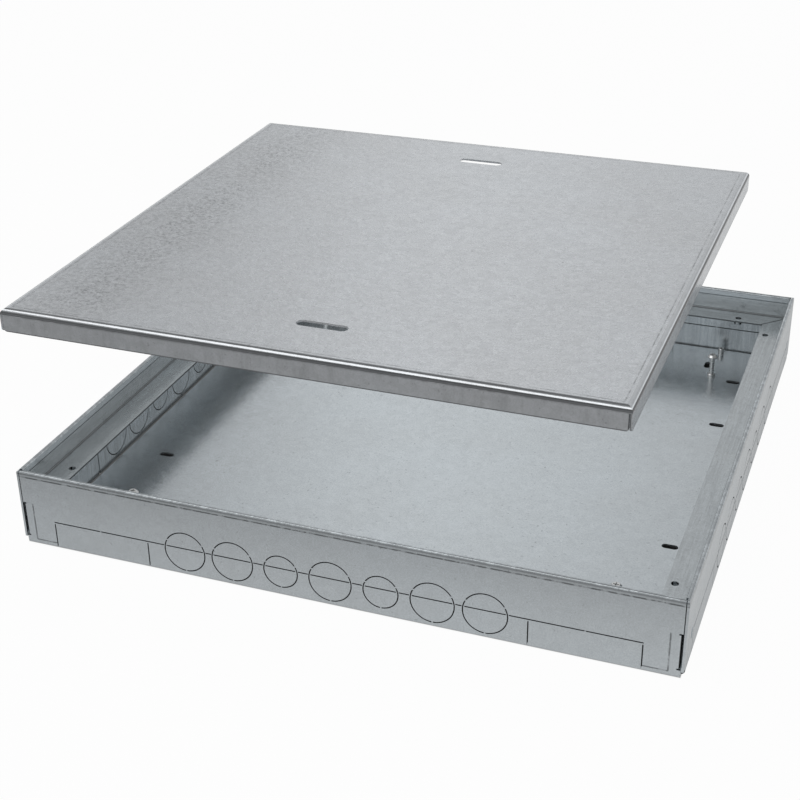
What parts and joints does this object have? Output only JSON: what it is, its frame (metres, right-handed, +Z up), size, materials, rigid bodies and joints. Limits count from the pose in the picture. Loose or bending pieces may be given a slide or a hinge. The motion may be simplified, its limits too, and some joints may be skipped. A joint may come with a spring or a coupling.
{
  "type": "underfloor cable pull box",
  "caption": "Shallow square folded steel tray with knock-outs, inner ledges and levelling screws, and a flat flanged lid shown lifted off above it.",
  "frame": {"origin": "middle of the tray's underside, on the slab", "axes": "+Z up, -Y towards the viewer's near wall, +X to the right"},
  "size_m": [0.661, 0.6815, 0.184],
  "materials": {
    "galvanised_sheet": "hot-dip galvanised sheet with fine spangle, semi-gloss",
    "galvanised_lid": "hot-dip galvanised sheet with fine spangle, satin",
    "bright_zinc": "bright zinc plate"
  },
  "bodies": {
    "box": {"box_tray": "galvanised_sheet", "lid": "galvanised_lid", "ledge_front": "galvanised_sheet", "ledge_right": "galvanised_sheet", "ledge_back": "galvanised_sheet", "ledge_left": "galvanised_sheet", "levelling_nut_1": "bright_zinc", "levelling_nut_2": "bright_zinc", "levelling_nut_3": "bright_zinc", "levelling_nut_4": "bright_zinc", "earth_bush": "bright_zinc"},
    "screw_1": {"levelling_screw_1": "bright_zinc"},
    "screw_2": {"levelling_screw_2": "bright_zinc"},
    "screw_3": {"levelling_screw_3": "bright_zinc"},
    "screw_4": {"levelling_screw_4": "bright_zinc"}
  },
  "joints": [
    {"name": "screw_1_travel", "type": "slide", "parent": "box", "child": "screw_1", "axis": [0, 0, 1], "range_m": [-0.019, 0]},
    {"name": "screw_2_travel", "type": "slide", "parent": "box", "child": "screw_2", "axis": [0, 0, 1], "range_m": [-0.019, 0]},
    {"name": "screw_3_travel", "type": "slide", "parent": "box", "child": "screw_3", "axis": [0, 0, 1], "range_m": [-0.019, 0]},
    {"name": "screw_4_travel", "type": "slide", "parent": "box", "child": "screw_4", "axis": [0, 0, 1], "range_m": [-0.019, 0]}
  ]
}
